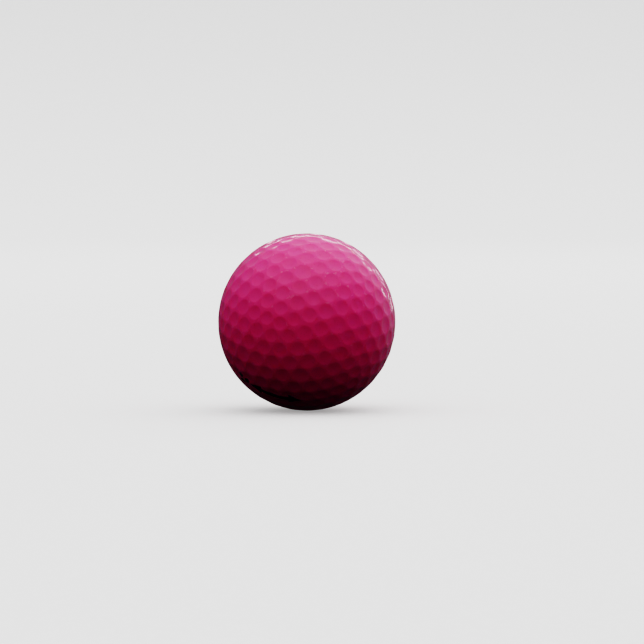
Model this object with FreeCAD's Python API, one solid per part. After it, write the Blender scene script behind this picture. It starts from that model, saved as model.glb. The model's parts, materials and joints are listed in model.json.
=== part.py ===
import FreeCAD, Part
import os
from itertools import combinations
from math import asin, atan, cos, degrees, radians, sin

from FreeCAD import Placement, Rotation, Vector

# A four-piece golf ball: a core of two layers, a mantle and a dimpled cover, with two printed
# marks. Millimetres and degrees. The origin is the ball's centre, and +Z is up.

# ---- Driving dimensions: the moulded layers ----
ball_diameter = 42.67           # 1.680 in, the smallest ball that the rules of golf allow
mantle_diameter = 41.15         # 1.62 in, which leaves a thin cover
outer_core_diameter = 39.37     # 1.55 in
inner_core_diameter = 25.4      # 1.00 in

# ---- Driving dimensions: the dimples ----
dimple_edge_angle = 11.0        # how steeply the wall falls from the land at a dimple's rim
land_width = 0.4                # narrowest land between two dimples
growth_rounds = 4               # rounds in which the dimples grow towards their neighbours

# The dimples lie on a triangular grid wrapped round an icosahedron. From one five-fold point
# to the next, the grid goes so many steps ahead, turns 60 degrees, and goes so many aside.
grid_steps_ahead = 5
grid_steps_aside = 2
layout_spin = 18.5              # the layout turns by this about its five-fold axis, along +Z,
layout_tilt = 29.5              # then the axis leans by this about +X,
layout_turn = -49.5             # and then all of it turns by this about +Z

# ---- Driving dimensions: the printed marks ----
# A mark's place is its azimuth from +X, its height above the equator, and its turn on the spot.
ink_thickness = 0.03
arrow_place = (-127, -53, -28)
arrow_length = 13.0
arrow_line_width = 1.2
arrow_head_length = 3.0
arrow_head_width = 3.2
dots_place = (-154, -38, 0)
dot_diameter = 1.4
dot_spacing = 2.1               # between the centres of the three dots, which form a triangle

# ---- Derived dimensions ----
ball_radius = ball_diameter / 2
cutter_margin = land_width / 3  # how far a cutter reaches past the rim of its dimple
cutter_reach = 1.0              # how far it goes in and out from the ball's surface
outward = Vector(1, 0, 0)       # cutters and stamps are made here, and then put in place


def rotation_to(azimuth, height, turn=0):
    """The rotation that takes +X to a place on the ball, and +Z to the north there."""
    about_z = Rotation(Vector(0, 0, 1), azimuth)
    about_y = Rotation(Vector(0, 1, 0), -height)
    return about_z * about_y * Rotation(outward, turn)


def icosahedron():
    """The faces of an icosahedron, as three corner directions each, and its edge angle."""
    ring_height = degrees(atan(0.5))
    upper = [Vector(0, 0, 1)]
    upper += [rotation_to(72 * corner, ring_height).multVec(outward) for corner in range(5)]
    corners = upper + [corner * -1 for corner in upper]
    edge = upper[0].getAngle(upper[1])
    faces = []
    for a, b, c in combinations(corners, 3):
        if max(a.getAngle(b), b.getAngle(c), c.getAngle(a)) < edge + 0.01:
            anticlockwise = a.dot(b.cross(c)) > 0
            faces.append((a, b, c) if anticlockwise else (a, c, b))
    return faces, edge


def grid_shares():
    """Each grid point within one face, as its shares of the face's three corners."""
    ahead, aside = grid_steps_ahead, grid_steps_aside
    per_face = ahead * ahead + ahead * aside + aside * aside
    points = []
    for i in range(-aside, ahead + 1):
        for j in range(ahead + aside + 1):
            second = (i * (ahead + aside) + j * aside) / per_face
            third = (j * ahead - i * aside) / per_face
            shares = (1 - second - third, second, third)
            if min(shares) > -1e-9:
                points.append(shares)
    return points


def dimple_directions():
    """Unit vectors from the ball's centre to the middle of every dimple."""
    faces, edge = icosahedron()
    found = []
    for face in faces:
        for shares in grid_shares():
            point = Vector()
            for share, corner in zip(shares, face):
                point += corner * sin(share * edge)
            point.normalize()
            if all(point.getAngle(other) > 0.01 for other in found):
                found.append(point)
    turn = (Rotation(Vector(0, 0, 1), layout_turn)
            * Rotation(Vector(1, 0, 0), layout_tilt)
            * Rotation(Vector(0, 0, 1), layout_spin))
    return [turn.multVec(point) for point in found]


def dimple_diameters(directions):
    """Every dimple's diameter. They all grow by half the room left beside them, in rounds."""
    half_angles = [0.0] * len(directions)
    land_angle = land_width / ball_radius
    gaps = [[here.getAngle(other) - land_angle for other in directions] for here in directions]
    for _ in range(growth_rounds):
        room = []
        for i, gaps_here in enumerate(gaps):
            room.append(min(gap - half_angles[i] - half_angles[j]
                            for j, gap in enumerate(gaps_here) if j != i))
        half_angles = [half + free / 2 for half, free in zip(half_angles, room)]
    return [round(ball_diameter * sin(half), 2) for half in half_angles]


def dimple_cutter(diameter, lift):
    """A plug along +X. Its round inner end is the floor of a dimple, raised by lift."""
    rim_angle = asin(diameter / ball_diameter)
    floor_angle = radians(dimple_edge_angle) - rim_angle
    floor_radius = diameter / 2 / sin(floor_angle)
    floor_centre = ball_radius * cos(rim_angle) + floor_radius * cos(floor_angle)
    floor = Part.makeSphere(floor_radius - lift)
    floor.translate(outward * floor_centre)
    inner_end = outward * (ball_radius - cutter_reach)
    plug = Part.makeCylinder(diameter / 2 + cutter_margin, 2 * cutter_reach, inner_end, outward)
    return plug.common(floor)


def dimple_cutters(dimples, lift=0.0):
    """A cutter in place for each dimple, given as its direction and diameter."""
    models = {diameter: dimple_cutter(diameter, lift) for diameter in {size for _, size in dimples}}
    cutters = []
    for direction, diameter in dimples:
        cutter = models[diameter].copy()
        cutter.Placement = Placement(Vector(), Rotation(outward, direction))
        cutters.append(cutter)
    return cutters


def layer(outer_diameter, inner_diameter):
    """A smooth moulded layer between two spheres."""
    return Part.makeSphere(outer_diameter / 2).cut(Part.makeSphere(inner_diameter / 2))


def stamp_block(faces, place):
    """A block that covers flat faces, drawn on the YZ plane, pushed through the surface."""
    blocks = []
    for face in faces:
        face.translate(outward * (ball_radius - cutter_reach))
        blocks.append(face.extrude(outward * (2 * cutter_reach)))
    block = Part.makeCompound(blocks)
    block.Placement = Placement(Vector(), rotation_to(*place))
    return block


def arrow_faces():
    """A line along Y with an arrowhead at both ends."""
    tip = arrow_length / 2
    neck = tip - arrow_head_length
    half_line = arrow_line_width / 2
    half_head = arrow_head_width / 2
    one_side = [(-tip, 0), (-neck, half_head), (-neck, half_line),
                (neck, half_line), (neck, half_head), (tip, 0)]
    other_side = [(y, -z) for y, z in reversed(one_side[1:-1])]
    corners = [Vector(0, y, z) for y, z in one_side + other_side]
    return [Part.Face(Part.makePolygon(corners + corners[:1]))]


def dot_faces():
    """Three round dots at the corners of a triangle."""
    faces = []
    for corner in range(3):
        middle = Rotation(outward, 120 * corner).multVec(Vector(0, 0, dot_spacing / 3 ** 0.5))
        faces.append(Part.Face(Part.Wire(Part.makeCircle(dot_diameter / 2, middle, outward))))
    return faces


def ink_film(block, dimples):
    """A thin coat of ink over land and dimples, wherever the block meets the surface."""
    middle = block.BoundBox.Center
    reach = block.BoundBox.DiagonalLength / 2 + 2 * max(size for _, size in dimples)
    near = [dimple for dimple in dimples if (dimple[0] * ball_radius).distanceToPoint(middle) < reach]
    coated = Part.makeSphere(ball_radius + ink_thickness).common(block)
    coated = coated.cut(dimple_cutters(near, lift=ink_thickness))
    bare = Part.makeSphere(ball_radius).cut(dimple_cutters(near))
    return coated.cut(bare)


def main():
    directions = dimple_directions()
    dimples = list(zip(directions, dimple_diameters(directions)))
    parts = {
        "inner_core": Part.makeSphere(inner_core_diameter / 2),
        "outer_core": layer(outer_core_diameter, inner_core_diameter),
        "mantle": layer(mantle_diameter, outer_core_diameter),
        "cover": layer(ball_diameter, mantle_diameter).cut(dimple_cutters(dimples)),
        "alignment_arrow": ink_film(stamp_block(arrow_faces(), arrow_place), dimples),
        "marker_dots": ink_film(stamp_block(dot_faces(), dots_place), dimples),
    }
    os.makedirs("parts", exist_ok=True)
    for name, shape in parts.items():
        shape.exportStep(f"parts/{name}.step")


main()
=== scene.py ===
import json
from itertools import combinations
from math import atan, cos, pi, radians, sin

import bpy
import numpy as np
from mathutils import Matrix, Vector


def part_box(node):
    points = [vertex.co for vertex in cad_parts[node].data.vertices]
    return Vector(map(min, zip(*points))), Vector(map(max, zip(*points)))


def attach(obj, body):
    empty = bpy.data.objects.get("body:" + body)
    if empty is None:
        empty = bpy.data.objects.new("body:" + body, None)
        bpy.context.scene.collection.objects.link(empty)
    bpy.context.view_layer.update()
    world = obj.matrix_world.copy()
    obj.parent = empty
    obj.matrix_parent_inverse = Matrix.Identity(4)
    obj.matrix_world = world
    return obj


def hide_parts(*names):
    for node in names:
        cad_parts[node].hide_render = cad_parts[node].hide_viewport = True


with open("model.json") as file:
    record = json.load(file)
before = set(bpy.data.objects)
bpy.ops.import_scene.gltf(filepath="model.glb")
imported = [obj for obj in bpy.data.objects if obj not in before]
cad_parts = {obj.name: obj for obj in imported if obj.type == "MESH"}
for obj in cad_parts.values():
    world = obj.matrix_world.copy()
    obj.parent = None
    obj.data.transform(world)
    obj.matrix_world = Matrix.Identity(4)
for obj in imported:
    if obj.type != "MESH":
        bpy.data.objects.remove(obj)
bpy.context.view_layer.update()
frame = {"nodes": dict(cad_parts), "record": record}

# A golf ball of four moulded layers, with two printed marks. The dimpled cover is a mesh of its own,
# and the inner layers and the marks are the frame's. All lengths are in metres, and the ball's
# centre is the origin.

mm = 0.001

# ---- Sizes that the frame gives ----
tee_seat = frame["record"]["mounts"][0]["pos_m"]
ball_radius = -tee_seat[2]
mantle_radius = (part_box("mantle")[1].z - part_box("mantle")[0].z) / 2

# ---- The dimples, laid out and sized as the cover's solid has them ----
# They lie on a triangular grid wrapped round an icosahedron, so many steps ahead and so many aside
# from one five-fold point to the next. The layout spins about its five-fold axis, along +Z, then
# the axis leans by the tilt about +X, and then all of it turns about +Z.
dimple_edge_angle = radians(11.0)       # how steeply the wall falls from the land at a dimple's rim
land_width = 0.4 * mm                   # narrowest land between two dimples
growth_rounds = 4                       # rounds in which the dimples grow towards their neighbours
grid_steps_ahead = 5
grid_steps_aside = 2
layout_spin = radians(18.5)
layout_tilt = radians(29.5)
layout_turn = radians(-49.5)

# ---- The painted surface ----
rim_softness = 0.01 * mm                # how much the paint rounds off a dimple's rim
floor_rings = (0.3, 0.6, 0.82, 0.94)    # circles of the mesh in a dimple, as shares of its rim
land_rings = (0.0, 0.15, 0.4, 0.7)      # rings on the land, as shares of the way to the cell's edge
edge_steps = 4                          # mesh edges along one side of a dimple's cell
neighbour_reach = radians(14)           # neighbouring dimples lie within this angle, and no others do
nearest_dimples = 4                     # no place on the ball is shaped by more dimples than these
slope_step = 1e-4                       # the surface's slope is taken over this angle to each side

# ---- The picture ----
camera_height = radians(3)      # the camera looks slightly down on the ball
camera_distance = 1.0
picture_width = 155 * mm        # what the picture spans at the ball
ball_to_left = 3.66 * mm        # the ball stands this far left of the picture's middle

# ---- The light, all of it white ----
# Azimuths count from behind the ball towards its right, and heights from the horizon, in degrees.
# Each lobe of the sky is its middle's azimuth and height, its brightness, and how tightly it is
# gathered.
overhead_lobe = (180, 84, 1.64, 4.2)
rear_lobe = (50, 34, 0.55, 9)
# Each soft box is its azimuth, its height, its width and tallness in metres, and its brightness.
rear_strip = (6, 27, 1.0, 0.10, 2.4)
side_strip = (30, 11, 0.08, 0.42, 2.0)
box_distance = 1.2


# ---------------------------------------------------------------- dimple layout

def unit(vectors):
    """The vectors, scaled to length 1."""
    vectors = np.asarray(vectors, float)
    return vectors / np.linalg.norm(vectors, axis=-1, keepdims=True)


def icosahedron():
    """The faces of an icosahedron, as three corner directions each, and its edge angle."""
    ring_height = atan(0.5)
    upper = [(0, 0, 1)]
    for corner in range(5):
        azimuth = 2 * pi * corner / 5
        upper.append((cos(ring_height) * cos(azimuth), cos(ring_height) * sin(azimuth), sin(ring_height)))
    corners = np.array(upper + [(-x, -y, -z) for x, y, z in upper])
    edge = np.arccos(corners[0] @ corners[1])
    faces = []
    for a, b, c in combinations(corners, 3):
        if min(a @ b, b @ c, c @ a) > cos(edge) - 0.01:
            anticlockwise = a @ np.cross(b, c) > 0
            faces.append((a, b, c) if anticlockwise else (a, c, b))
    return faces, edge


def grid_shares():
    """Each grid point within one face, as its shares of the face's three corners."""
    ahead, aside = grid_steps_ahead, grid_steps_aside
    per_face = ahead * ahead + ahead * aside + aside * aside
    points = []
    for i in range(-aside, ahead + 1):
        for j in range(ahead + aside + 1):
            second = (i * (ahead + aside) + j * aside) / per_face
            third = (j * ahead - i * aside) / per_face
            shares = (1 - second - third, second, third)
            if min(shares) > -1e-9:
                points.append(shares)
    return points


def dimple_directions():
    """Unit vectors from the ball's centre to the middle of every dimple."""
    faces, edge = icosahedron()
    found = []
    for face in faces:
        for shares in grid_shares():
            point = unit(np.sin(np.array(shares) * edge) @ np.array(face))
            if not found or max(np.array(found) @ point) < cos(0.01):
                found.append(point)
    turn = (Matrix.Rotation(layout_turn, 3, "Z")
            @ Matrix.Rotation(layout_tilt, 3, "X")
            @ Matrix.Rotation(layout_spin, 3, "Z"))
    return np.array(found) @ np.array(turn).T


def rim_angles(directions):
    """Each dimple's half angle as seen from the ball's centre, grown towards its neighbours."""
    gaps = np.arccos(np.clip(directions @ directions.T, -1, 1)) - land_width / ball_radius
    np.fill_diagonal(gaps, pi)
    half_angles = np.zeros(len(directions))
    for _ in range(growth_rounds):
        room = (gaps - half_angles[:, None] - half_angles[None, :]).min(axis=1)
        half_angles += room / 2
    return half_angles


directions = dimple_directions()
rim_angle = rim_angles(directions)

# Each dimple's floor is part of a sphere whose centre lies outside the ball.
floor_angle = dimple_edge_angle - rim_angle
floor_radius = ball_radius * np.sin(rim_angle) / np.sin(floor_angle)
floor_centre = ball_radius * np.cos(rim_angle) + floor_radius * np.cos(floor_angle)


# ---------------------------------------------------------------- painted surface

def surface_radius(where):
    """How far the painted surface lies from the ball's centre, along each unit vector.

    Land and dimple floors meet in a soft minimum, so that the rims are rounded as paint rounds them.
    """
    along = where @ directions.T
    nearest = np.argpartition(-along, nearest_dimples, axis=1)[:, :nearest_dimples]
    cosine = np.take_along_axis(along, nearest, axis=1)
    centre, radius = floor_centre[nearest], floor_radius[nearest]
    within = np.maximum(radius ** 2 - centre ** 2 * (1 - cosine ** 2), 0)
    floor = centre * cosine - np.sqrt(within)
    below = np.exp((ball_radius - floor) / rim_softness).sum(axis=1)
    return ball_radius - rim_softness * np.log1p(below)


def surface_normals(where):
    """The painted surface's normals along each unit vector, from its slope two ways."""
    near_pole = np.abs(where[:, 2:]) > 0.9
    east = unit(np.cross(np.where(near_pole, (1.0, 0.0, 0.0), (0.0, 0.0, 1.0)), where))
    north = np.cross(where, east)
    normals = where * surface_radius(where)[:, None]
    for tangent in (east, north):
        ahead = surface_radius(unit(where + slope_step * tangent))
        behind = surface_radius(unit(where - slope_step * tangent))
        normals -= tangent * ((ahead - behind) / (2 * slope_step))[:, None]
    return unit(normals)


def neighbour_rings():
    """For each dimple, its neighbours' numbers, anticlockwise."""
    rings = []
    for here, axis in enumerate(directions):
        near = np.flatnonzero(directions @ axis > cos(neighbour_reach))
        near = near[near != here]
        across = unit(np.cross(axis, directions[near[0]]))
        along = np.cross(across, axis)
        bearing = np.arctan2(directions[near] @ across, directions[near] @ along)
        rings.append([int(number) for number in near[np.argsort(bearing)]])
    return rings


def cell_outlines():
    """The cells that share out the ball among its dimples.

    Returns the directions of all the outline points, and each cell's outline as their numbers,
    anticlockwise. Cell edges run along the middle of the land, and both their cells use them.
    """
    poles = directions / np.cos(rim_angle)[:, None]
    points, numbers = [], {}

    def number_of(key, direction):
        if key not in numbers:
            numbers[key] = len(points)
            points.append(unit(direction))
        return numbers[key]

    def corner(a, b, c):
        return unit(np.cross(poles[b] - poles[a], poles[c] - poles[a]))

    outlines = []
    for here, ring in enumerate(neighbour_rings()):
        outline = []
        for before, there, after in zip(ring, ring[1:] + ring[:1], ring[2:] + ring[:2]):
            start, end = corner(here, before, there), corner(here, there, after)
            outline.append(number_of(frozenset((here, before, there)), start))
            for step in range(1, edge_steps):
                share = step / edge_steps
                place = step if here < there else edge_steps - step
                key = (min(here, there), max(here, there), place)
                outline.append(number_of(key, start * (1 - share) + end * share))
        outlines.append(np.array(outline))
    return np.array(points), outlines


def dimple_rings(cell, outline):
    """Directions on the circles of one cell's mesh, from the dimple's middle out to the land."""
    axis, rim = directions[cell], rim_angle[cell]
    edge = np.arccos(outline @ axis)
    away = unit(outline - np.outer(np.cos(edge), axis))
    angles = [np.full(len(outline), rim * share) for share in floor_rings]
    angles += [rim + (edge - rim) * share for share in land_rings]
    return [np.outer(np.cos(angle), axis) + np.sin(angle)[:, None] * away for angle in angles]


def halfway_ring(cell, outline):
    """Directions on one ring, halfway from a cell's middle to its outline."""
    return [unit(outline + directions[cell])]


def bands(loops):
    """The four-cornered faces between neighbouring loops of vertex numbers."""
    faces = []
    for inner, outer in zip(loops, loops[1:]):
        faces += zip(inner, outer, np.roll(outer, -1), np.roll(inner, -1))
    return faces


def fan(middle, loop):
    """The triangles between a middle vertex and the loop round it."""
    return [(middle, here, there) for here, there in zip(loop, np.roll(loop, -1))]


def wall(outline_points, outlines, rings_of):
    """A closed wall of cells round the ball, as its vertices' directions and its faces."""
    points, faces = [outline_points], []
    count = len(outline_points)
    for cell, outline in enumerate(outlines):
        rings = rings_of(cell, outline_points[outline])
        loops = [count + 1 + np.arange(len(outline)) + len(outline) * i for i in range(len(rings))]
        faces += fan(count, loops[0]) + bands(loops + [outline])
        points += [directions[cell:cell + 1]] + rings
        count += 1 + len(outline) * len(rings)
    return np.vstack(points), faces


def smooth_mesh(name, points, faces):
    """A mesh of smooth faces, which are given by their vertices' numbers."""
    mesh = bpy.data.meshes.new(name)
    mesh.from_pydata(points, [], [[int(number) for number in face] for face in faces])
    mesh.polygons.foreach_set("use_smooth", [True] * len(mesh.polygons))
    return mesh


def cover_mesh():
    """The cover: its dimpled outside, and the smooth wall that lies on the mantle."""
    outline_points, outlines = cell_outlines()
    outside, faces = wall(outline_points, outlines, dimple_rings)
    inside, inner_faces = wall(outline_points, outlines, halfway_ring)
    faces += [[len(outside) + number for number in reversed(face)] for face in inner_faces]
    points = np.vstack([outside * surface_radius(outside)[:, None], inside * mantle_radius])
    normals = np.vstack([surface_normals(outside), -inside])
    mesh = smooth_mesh("dimpled_cover", points.tolist(), faces)
    mesh.normals_split_custom_set_from_vertices(normals.tolist())
    return mesh


# ---------------------------------------------------------------- materials

class Shader:
    """A node material with a Principled shader, and short ways to add nodes to it."""

    def __init__(self, name, **settings):
        """Settings are named after the shader's sockets, with _ for a space."""
        self.material = bpy.data.materials.new(name)
        self.material.use_nodes = True
        self.tree = self.material.node_tree
        self.surface = self.tree.nodes["Principled BSDF"]
        self.place = self.add("ShaderNodeTexCoord").outputs["Object"]
        for socket, value in settings.items():
            self.surface.inputs[socket.replace("_", " ")].default_value = value

    def add(self, kind, inputs=None, **properties):
        """A new node, with its properties set and its inputs fed."""
        node = self.tree.nodes.new(kind)
        for name, value in properties.items():
            setattr(node, name, value)
        for socket, value in (inputs or {}).items():
            self.feed(node.inputs[socket], value)
        return node

    def feed(self, socket, value):
        """Links a socket to another one, or sets its value."""
        if isinstance(value, bpy.types.NodeSocket):
            self.tree.links.new(value, socket)
        else:
            socket.default_value = value

    def noise(self, feature, detail=2.0, roughness=0.5):
        """Soft noise whose blotches are about as wide as feature."""
        inputs = {"Vector": self.place, "Scale": 1 / feature, "Detail": detail, "Roughness": roughness}
        return self.add("ShaderNodeTexNoise", inputs).outputs["Fac"]

    def ranged(self, value, low, high, new_low=0.0, new_high=1.0):
        """The value, with low to high spread over new_low to new_high."""
        inputs = {"Value": value, "From Min": low, "From Max": high, "To Min": new_low, "To Max": new_high}
        return self.add("ShaderNodeMapRange", inputs).outputs["Result"]

    def mixed(self, share, first, second):
        """A colour between two colours."""
        # The node's sockets for numbers, vectors and colours share their names, so they go by number.
        node = self.add("ShaderNodeMix", data_type="RGBA")
        self.feed(node.inputs[0], share)
        self.feed(node.inputs[6], first)
        self.feed(node.inputs[7], second)
        return node.outputs[2]

    def bump(self, height, depth):
        """Normals for a surface that rises by depth where height is 1."""
        return self.add("ShaderNodeBump", {"Height": height, "Distance": depth}).outputs["Normal"]


# The clear coat over paint and ink.
clear_coat = {"Coat_Weight": 0.9, "Coat_Roughness": 0.05, "Coat_IOR": 1.42, "Specular_IOR_Level": 0.1}


def orange_peel(shader):
    """The faint bumps of a sprayed coat."""
    return shader.bump(shader.noise(0.9 * mm), 0.001 * mm)


def pink_paint():
    """Pink paint under a clear coat. Light goes about a millimetre into it and the cover under it."""
    shader = Shader("pink_paint", IOR=1.5, Subsurface_Weight=1.0, Subsurface_Radius=(1.0, 0.3, 0.5),
                    Subsurface_Scale=1.3 * mm, **clear_coat)

    # The pigment is a little uneven, in broad clouds and in fine specks.
    clouds = shader.ranged(shader.noise(7 * mm), 0.35, 0.65, 0.0, 0.25)
    colour = shader.mixed(clouds, (0.895, 0.0265, 0.227, 1), (0.93, 0.045, 0.27, 1))
    specks = shader.ranged(shader.noise(0.35 * mm, detail=1.0), 0.62, 0.72, 0.0, 0.3)
    colour = shader.mixed(specks, colour, (0.62, 0.012, 0.13, 1))

    # Wear has left faint paler rubs on the land, which stands proud of the dimples.
    height = shader.add("ShaderNodeVectorMath", {0: shader.place}, operation="LENGTH").outputs["Value"]
    proud = shader.ranged(height, ball_radius - 2 * rim_softness, ball_radius - rim_softness, 0.0, 0.16)
    rubs = shader.ranged(shader.noise(1.3 * mm, detail=5.0, roughness=0.65), 0.58, 0.66, 0.0, proud)
    colour = shader.mixed(rubs, colour, (0.95, 0.32, 0.5, 1))
    shader.feed(shader.surface.inputs["Base Color"], colour)
    dull = shader.ranged(shader.noise(2.5 * mm), 0.3, 0.7, 0.36, 0.5)
    shader.feed(shader.surface.inputs["Roughness"], dull)

    peel = orange_peel(shader)
    shader.feed(shader.surface.inputs["Normal"], peel)
    shader.feed(shader.surface.inputs["Coat Normal"], peel)
    return shader.material


def black_ink():
    """Stamped ink under the clear coat, a little thin in places."""
    shader = Shader("black_ink", IOR=1.5, **clear_coat)
    thin = shader.ranged(shader.noise(0.5 * mm, detail=3.0), 0.5, 0.75)
    shader.feed(shader.surface.inputs["Base Color"],
                shader.mixed(thin, (0.01, 0.008, 0.01, 1), (0.05, 0.012, 0.022, 1)))
    shader.feed(shader.surface.inputs["Roughness"], shader.ranged(thin, 0, 1, 0.4, 0.6))
    shader.feed(shader.surface.inputs["Coat Normal"], orange_peel(shader))
    return shader.material


def moulded_resin():
    """The mantle's milky resin, with faint clouds and the satin skin that its mould leaves."""
    shader = Shader("mantle_resin", IOR=1.5, Subsurface_Weight=0.5, Subsurface_Radius=(1.0, 0.9, 0.8),
                    Subsurface_Scale=0.5 * mm)
    clouds = shader.noise(5 * mm, detail=4.0)
    shader.feed(shader.surface.inputs["Base Color"],
                shader.mixed(shader.ranged(clouds, 0.3, 0.7), (0.66, 0.63, 0.56, 1), (0.78, 0.76, 0.7, 1)))
    shader.feed(shader.surface.inputs["Roughness"], shader.ranged(clouds, 0.3, 0.7, 0.34, 0.46))
    shader.feed(shader.surface.inputs["Normal"], shader.bump(shader.noise(0.25 * mm), 0.004 * mm))
    return shader.material


def core_rubber(name, colour, speck):
    """Pressed core rubber: dull, faintly clouded, and full of small ground specks."""
    shader = Shader(name, IOR=1.5)
    darker = tuple(0.75 * channel for channel in colour)
    clouds = shader.ranged(shader.noise(4 * mm, detail=5.0), 0.3, 0.7)
    base = shader.mixed(clouds, darker + (1,), colour + (1,))
    grains = shader.add("ShaderNodeTexVoronoi", {"Vector": shader.place, "Scale": 1 / (0.9 * mm)})
    inside_speck = shader.ranged(grains.outputs["Distance"], 0.22, 0.16)
    shader.feed(shader.surface.inputs["Base Color"], shader.mixed(inside_speck, base, speck + (1,)))
    dull = shader.ranged(shader.noise(1 * mm), 0.3, 0.7, 0.62, 0.8)
    shader.feed(shader.surface.inputs["Roughness"], dull)
    shader.feed(shader.surface.inputs["Normal"], shader.bump(shader.noise(0.4 * mm, detail=3.0), 0.02 * mm))
    return shader.material


def pale_paper():
    """The stage's matt paper. It glows a little, so that its far side is as pale as its near side."""
    shader = Shader("pale_paper", Roughness=0.9, Emission_Color=(1, 1, 1, 1), Emission_Strength=0.25)
    fibres = shader.ranged(shader.noise(1.5 * mm, detail=4.0), 0.3, 0.7)
    shader.feed(shader.surface.inputs["Base Color"],
                shader.mixed(fibres, (0.76, 0.76, 0.76, 1), (0.82, 0.82, 0.82, 1)))
    return shader.material


# ---------------------------------------------------------------- stage

def add_object(name, data):
    """A new object in the scene."""
    added = bpy.data.objects.new(name, data)
    bpy.context.scene.collection.objects.link(added)
    return added


def floor_profile():
    """The floor's radii and heights: flat, then turning up into a wall in a quarter circle."""
    flat_radius, turn_radius, wall_height = 1.3, 0.5, 1.0
    turn_steps = 12
    profile = [(0.0, 0.0)]
    for step in range(turn_steps + 1):
        angle = pi / 2 * step / turn_steps
        profile.append((flat_radius + turn_radius * sin(angle), turn_radius * (1 - cos(angle))))
    return profile + [(flat_radius + turn_radius, wall_height)]


def stage_floor():
    """A pale round floor with a wall all round. Its own light doesn't reach the ball."""
    sides = 96
    points, loops = [], []
    for radius, height in floor_profile():
        loops.append(len(points) + np.arange(sides))
        for side in range(sides):
            azimuth = 2 * pi * side / sides
            points.append((radius * cos(azimuth), radius * sin(azimuth), height - ball_radius))
    floor = add_object("studio_floor", smooth_mesh("studio_floor", points, bands(loops)))
    floor.data.materials.append(pale_paper())
    floor.visible_diffuse = False
    floor.visible_glossy = False
    floor.visible_shadow = False
    return floor


def toward(azimuth, height):
    """The unit vector to a place round the ball, its azimuth counted from behind towards the right."""
    azimuth, height = radians(azimuth), radians(height)
    return Vector((sin(azimuth) * cos(height), cos(azimuth) * cos(height), sin(height)))


def soft_box(name, azimuth, height, width, tallness, brightness):
    """A soft box that faces the ball. It lights the ball and shines in its coat, but isn't seen itself."""
    data = bpy.data.lights.new(name, "AREA")
    data.shape = "RECTANGLE"
    data.size, data.size_y = width, tallness
    data.energy = brightness * pi * width * tallness
    box = add_object(name, data)
    box.location = toward(azimuth, height) * box_distance
    box.rotation_euler = (-box.location).to_track_quat("-Z", "Y").to_euler()
    box.visible_camera = False


def sky_lobe(tree, direction, azimuth, height, brightness, focus):
    """The brightness that one soft lobe of the sky adds along each direction.

    It is brightness * ((1 + cosine) / 2) ** focus, where the cosine is that of the angle to its middle.
    """
    cosine = tree.nodes.new("ShaderNodeVectorMath")
    cosine.operation = "DOT_PRODUCT"
    cosine.inputs[1].default_value = toward(azimuth, height)
    tree.links.new(direction, cosine.inputs[0])
    value = cosine.outputs["Value"]
    for operation, number in (("ADD", 1), ("MULTIPLY", 0.5), ("POWER", focus), ("MULTIPLY", brightness)):
        step = tree.nodes.new("ShaderNodeMath")
        step.operation = operation
        step.inputs[1].default_value = number
        tree.links.new(value, step.inputs[0])
        value = step.outputs["Value"]
    return value


def studio_sky():
    """Soft light from all round: most of it from overhead, and some from behind and to the right."""
    world = bpy.data.worlds.new("studio_sky")
    world.use_nodes = True
    tree = world.node_tree
    direction = tree.nodes.new("ShaderNodeTexCoord").outputs["Generated"]
    total = tree.nodes.new("ShaderNodeMath")
    tree.links.new(sky_lobe(tree, direction, *overhead_lobe), total.inputs[0])
    tree.links.new(sky_lobe(tree, direction, *rear_lobe), total.inputs[1])
    tree.links.new(total.outputs["Value"], tree.nodes["Background"].inputs["Strength"])
    tree.nodes["Background"].inputs["Color"].default_value = (1, 1, 1, 1)
    bpy.context.scene.world = world


def picture_camera():
    """The camera, which stands in front of the ball and aims a little to its right."""
    data = bpy.data.cameras.new("camera")
    data.lens = data.sensor_width * camera_distance / picture_width
    camera = add_object("camera", data)
    back = Vector((0, -cos(camera_height), sin(camera_height)))
    camera.location = back * camera_distance
    aim = Vector((ball_to_left, 0, 0))
    camera.rotation_mode = "QUATERNION"
    camera.rotation_quaternion = (aim - camera.location).to_track_quat("-Z", "Y")
    bpy.context.scene.camera = camera


# ---------------------------------------------------------------- the scene

cover = add_object("dimpled_cover", cover_mesh())
cover.data.materials.append(pink_paint())
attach(cover, "root")
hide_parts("cover")

ink = black_ink()
node_materials = {
    "inner_core": core_rubber("inner_core_rubber", (0.75, 0.28, 0.03), (0.85, 0.5, 0.2)),
    "outer_core": core_rubber("outer_core_rubber", (0.05, 0.22, 0.42), (0.3, 0.45, 0.6)),
    "mantle": moulded_resin(),
    "alignment_arrow": ink,
    "marker_dots": ink,
}
for name, material in node_materials.items():
    frame["nodes"][name].material_slots[0].material = material

stage_floor()
studio_sky()
soft_box("rear_strip", *rear_strip)
soft_box("side_strip", *side_strip)
picture_camera()
bpy.context.scene.view_settings.view_transform = "Filmic"
bpy.context.scene.view_settings.look = "Very High Contrast"
